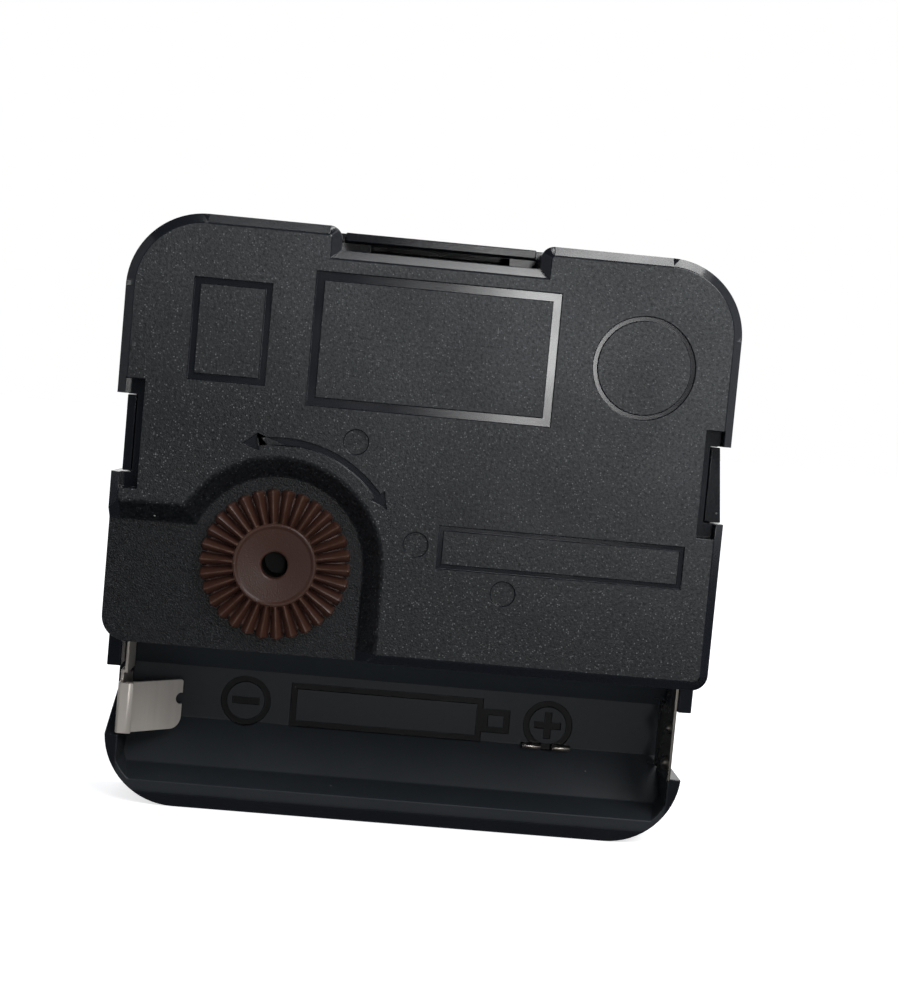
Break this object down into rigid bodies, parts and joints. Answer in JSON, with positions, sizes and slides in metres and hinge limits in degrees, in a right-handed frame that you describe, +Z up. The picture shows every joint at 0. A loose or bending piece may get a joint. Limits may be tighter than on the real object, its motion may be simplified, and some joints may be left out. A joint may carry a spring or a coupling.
{
  "type": "quartz clock movement",
  "caption": "Square black quartz clock movement with a ribbed brown setting knob, an open battery bay, a hanger notch and a threaded bush that carries the hand shafts.",
  "frame": {"origin": "on the hand shafts' axis, in the dial seat: the front face of the case, where the dial rests", "axes": "+X to the right as seen from the back cover, +Y along the hand shafts towards the dial and hands, +Z up as the movement hangs, towards the hanger notch"},
  "size_m": [0.056, 0.029, 0.056],
  "materials": {
    "case_plastic": "smooth moulded, satin gloss",
    "cover_plastic": "finely grained",
    "brown_plastic": "smooth moulded, satin",
    "white_plastic": "smooth moulded",
    "ivory_plastic": "smooth moulded",
    "brass": "turned",
    "steel": "drawn, bright",
    "iron_sheet": "stamped",
    "nickel": "nickel-plated strip",
    "magnet": "sintered, ground",
    "copper": "enamelled wire",
    "board": "coated circuit board",
    "resin": "cast resin drop"
  },
  "bodies": {
    "case": {"front_case": "case_plastic", "back_cover": "cover_plastic", "middle_plate": "white_plastic", "threaded_bush": "brass", "stator": "iron_sheet", "coil_core": "iron_sheet", "coil_bobbin": "white_plastic", "coil_winding": "copper", "coil_leads": "copper", "circuit_board": "board", "chip_cover": "resin", "quartz_crystal": "steel", "positive_contact": "nickel", "negative_contact": "nickel", "contact_tabs": "nickel"},
    "knob": {"setting_knob": "brown_plastic", "setting_arbor": "brown_plastic"},
    "motion_gear": {"motion_wheel": "white_plastic"},
    "minute_shaft": {"minute_arbor": "brass"},
    "hour_shaft": {"hour_wheel": "ivory_plastic"},
    "second_shaft": {"seconds_wheel": "white_plastic", "seconds_arbor": "steel"},
    "third_gear": {"third_wheel": "ivory_plastic"},
    "minute_gear": {"minute_wheel": "white_plastic"},
    "intermediate_gear": {"intermediate_wheel": "ivory_plastic"},
    "rotor": {"rotor_pinion": "ivory_plastic", "rotor_magnet": "magnet"},
    "leaf": {"negative_leaf": "nickel"}
  },
  "joints": [
    {"name": "knob_spin", "type": "hinge", "parent": "case", "child": "knob", "pos_m": [-0.0126, 0, -0.003], "axis": [0, 1, 0], "continuous": true},
    {"name": "motion_spin", "type": "hinge", "parent": "case", "child": "motion_gear", "pos_m": [-0.00692, 0, 0.00109], "axis": [0, 1, 0], "continuous": true},
    {"name": "minute_spin", "type": "hinge", "parent": "case", "child": "minute_shaft", "pos_m": [0, 0, 0], "axis": [0, 1, 0], "continuous": true},
    {"name": "hour_spin", "type": "hinge", "parent": "case", "child": "hour_shaft", "pos_m": [0, 0, 0], "axis": [0, 1, 0], "continuous": true},
    {"name": "seconds_spin", "type": "hinge", "parent": "case", "child": "second_shaft", "pos_m": [0, 0, 0], "axis": [0, 1, 0], "continuous": true},
    {"name": "third_spin", "type": "hinge", "parent": "case", "child": "third_gear", "pos_m": [0.00677, 0, 0.00246], "axis": [0, 1, 0], "continuous": true},
    {"name": "minute_wheel_spin", "type": "hinge", "parent": "case", "child": "minute_gear", "pos_m": [0, 0, 0], "axis": [0, 1, 0], "continuous": true},
    {"name": "intermediate_spin", "type": "hinge", "parent": "case", "child": "intermediate_gear", "pos_m": [0, 0, 0.00756], "axis": [0, 1, 0], "continuous": true},
    {"name": "rotor_spin", "type": "hinge", "parent": "case", "child": "rotor", "pos_m": [-0.00618, 0, 0.00879], "axis": [0, 1, 0], "continuous": true},
    {"name": "leaf_bend", "type": "hinge", "parent": "case", "child": "leaf", "pos_m": [-0.026, -0.0076, -0.0188], "axis": [0, 0, 1], "range_deg": [0, 34], "stiffness_Nm_per_rad": 0.016}
  ],
  "couplings": [
    {"joint": "motion_spin", "follows": "knob_spin", "ratio": -0.33333},
    {"joint": "minute_spin", "follows": "knob_spin", "ratio": 1},
    {"joint": "hour_spin", "follows": "knob_spin", "ratio": 0.083333},
    {"joint": "third_spin", "follows": "seconds_spin", "ratio": -0.13333},
    {"joint": "minute_wheel_spin", "follows": "seconds_spin", "ratio": 0.016667},
    {"joint": "intermediate_spin", "follows": "seconds_spin", "ratio": -5},
    {"joint": "rotor_spin", "follows": "seconds_spin", "ratio": 30}
  ]
}
